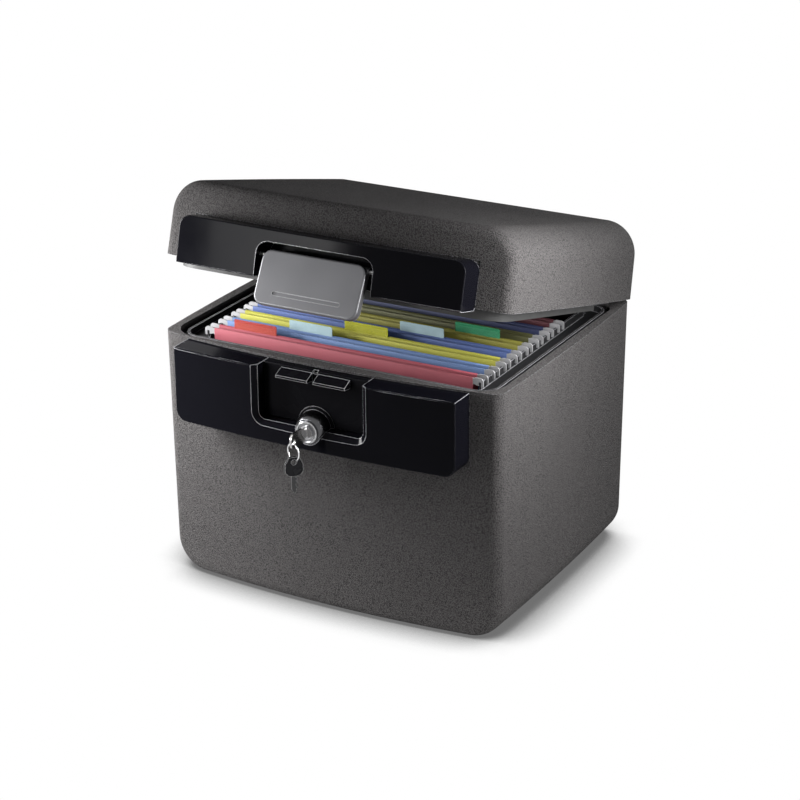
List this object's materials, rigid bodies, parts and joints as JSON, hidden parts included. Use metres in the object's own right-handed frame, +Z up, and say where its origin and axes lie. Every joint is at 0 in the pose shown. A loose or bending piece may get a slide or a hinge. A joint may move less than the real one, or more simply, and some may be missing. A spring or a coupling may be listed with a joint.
{
  "type": "fireproof file box",
  "caption": "Fireproof file box with a hinged lid, a swinging front latch, a key lock and coloured hanging folders on side rails.",
  "frame": {"origin": "on the underside, below the middle of the body", "axes": "+Z up, the front with latch and lock faces -Y, +X to the right of someone facing the back"},
  "size_m": [0.395, 0.3929, 0.4215],
  "materials": {
    "charcoal_shell": "pebbled charcoal plastic",
    "insulation": "cast fire insulation",
    "liner_grey": "smooth grey plastic",
    "seal_rubber": "soft black seal",
    "gloss_black": "gloss black plastic",
    "recess_black": "satin black plastic",
    "lock_chrome": "polished chrome",
    "plain_steel": "plain steel",
    "key_steel": "nickel plated",
    "key_steel_dark": "worn nickel plate",
    "ring_chrome": "bright wire",
    "key_black": "black moulded head",
    "latch_satin": "satin mid grey",
    "hinge_steel": "black painted steel",
    "screw_steel": "black screws",
    "folder_red": "red card",
    "folder_light_blue": "light blue card",
    "folder_yellow": "yellow card",
    "folder_blue": "blue card",
    "folder_olive": "olive yellow card",
    "folder_moss": "moss card",
    "folder_navy": "navy card",
    "folder_dark_red": "dark red card",
    "rod_silver": "silver coated rod",
    "tab_red": "red plastic tab",
    "tab_clear": "pale frosted tab",
    "tab_yellow": "yellow plastic tab",
    "tab_green": "green plastic tab"
  },
  "bodies": {
    "box": {"body_shell": "charcoal_shell", "body_insulation": "insulation", "body_liner": "liner_grey", "body_gasket": "seal_rubber", "body_trim": "gloss_black", "strike_plate": "recess_black", "keepers": "recess_black", "lock_boss": "gloss_black", "lock_cylinder": "lock_chrome", "body_hinge_leaves": "hinge_steel", "hinge_pins": "plain_steel", "body_hinge_screws": "screw_steel"},
    "lid": {"lid_shell": "charcoal_shell", "lid_insulation": "insulation", "lid_liner": "liner_grey", "lid_seal": "seal_rubber", "lid_trim": "gloss_black", "latch_well": "recess_black", "latch_pin": "plain_steel", "lid_hinge_leaves": "hinge_steel", "lid_hinge_screws": "screw_steel"},
    "latch": {"latch_plate": "latch_satin", "latch_hooks": "recess_black"},
    "lock": {"lock_plug": "lock_chrome", "lock_cam": "plain_steel"},
    "lock_key": {"key": "key_steel"},
    "ring": {"key_ring": "ring_chrome"},
    "spare_key": {"spare_key_head": "key_black", "spare_key_blade": "key_steel_dark"},
    "file_1": {"folder_1": "folder_red", "rods_1": "rod_silver", "tab_1": "tab_red"},
    "file_2": {"folder_2": "folder_light_blue", "rods_2": "rod_silver", "tab_2": "tab_clear"},
    "file_3": {"folder_3": "folder_yellow", "rods_3": "rod_silver", "tab_3": "tab_yellow"},
    "file_4": {"folder_4": "folder_blue", "rods_4": "rod_silver", "tab_4": "tab_clear"},
    "file_5": {"folder_5": "folder_olive", "rods_5": "rod_silver", "tab_5": "tab_green"},
    "file_6": {"folder_6": "folder_moss", "rods_6": "rod_silver"},
    "file_7": {"folder_7": "folder_navy", "rods_7": "rod_silver"},
    "file_8": {"folder_8": "folder_dark_red", "rods_8": "rod_silver"}
  },
  "joints": [
    {"name": "lid_hinge", "type": "hinge", "parent": "box", "child": "lid", "pos_m": [0, 0.16125, 0.2669], "axis": [-1, 0, 0], "range_deg": [-14.7, 85.3]},
    {"name": "latch_hinge", "type": "hinge", "parent": "lid", "child": "latch", "pos_m": [0, -0.15611, 0.37145], "axis": [-1, 0, 0], "range_deg": [-14, 50]},
    {"name": "lock_turn", "type": "hinge", "parent": "box", "child": "lock", "pos_m": [0, -0.15825, 0.2063], "axis": [0, -1, 0], "range_deg": [-90, 0]},
    {"name": "key_pull", "type": "slide", "parent": "lock", "child": "lock_key", "axis": [0, -1, 0], "range_m": [0, 0.03]},
    {"name": "ring_swing", "type": "hinge", "parent": "lock_key", "child": "ring", "pos_m": [0, -0.21095, 0.2053], "axis": [1, 0, 0], "range_deg": [-20, 20]},
    {"name": "spare_swing", "type": "hinge", "parent": "ring", "child": "spare_key", "pos_m": [0, -0.21095, 0.185], "axis": [0.7071, -0.7071, 0], "range_deg": [-12, 12]},
    {"name": "file_1_slide", "type": "slide", "parent": "box", "child": "file_1", "axis": [0, 1, 0], "range_m": [-0.005, 0.005]},
    {"name": "file_2_slide", "type": "slide", "parent": "box", "child": "file_2", "axis": [0, 1, 0], "range_m": [-0.005, 0.005]},
    {"name": "file_3_slide", "type": "slide", "parent": "box", "child": "file_3", "axis": [0, 1, 0], "range_m": [-0.005, 0.005]},
    {"name": "file_4_slide", "type": "slide", "parent": "box", "child": "file_4", "axis": [0, 1, 0], "range_m": [-0.005, 0.005]},
    {"name": "file_5_slide", "type": "slide", "parent": "box", "child": "file_5", "axis": [0, 1, 0], "range_m": [-0.005, 0.005]},
    {"name": "file_6_slide", "type": "slide", "parent": "box", "child": "file_6", "axis": [0, 1, 0], "range_m": [-0.005, 0.005]},
    {"name": "file_7_slide", "type": "slide", "parent": "box", "child": "file_7", "axis": [0, 1, 0], "range_m": [-0.005, 0.005]},
    {"name": "file_8_slide", "type": "slide", "parent": "box", "child": "file_8", "axis": [0, 1, 0], "range_m": [-0.005, 0.005]}
  ]
}
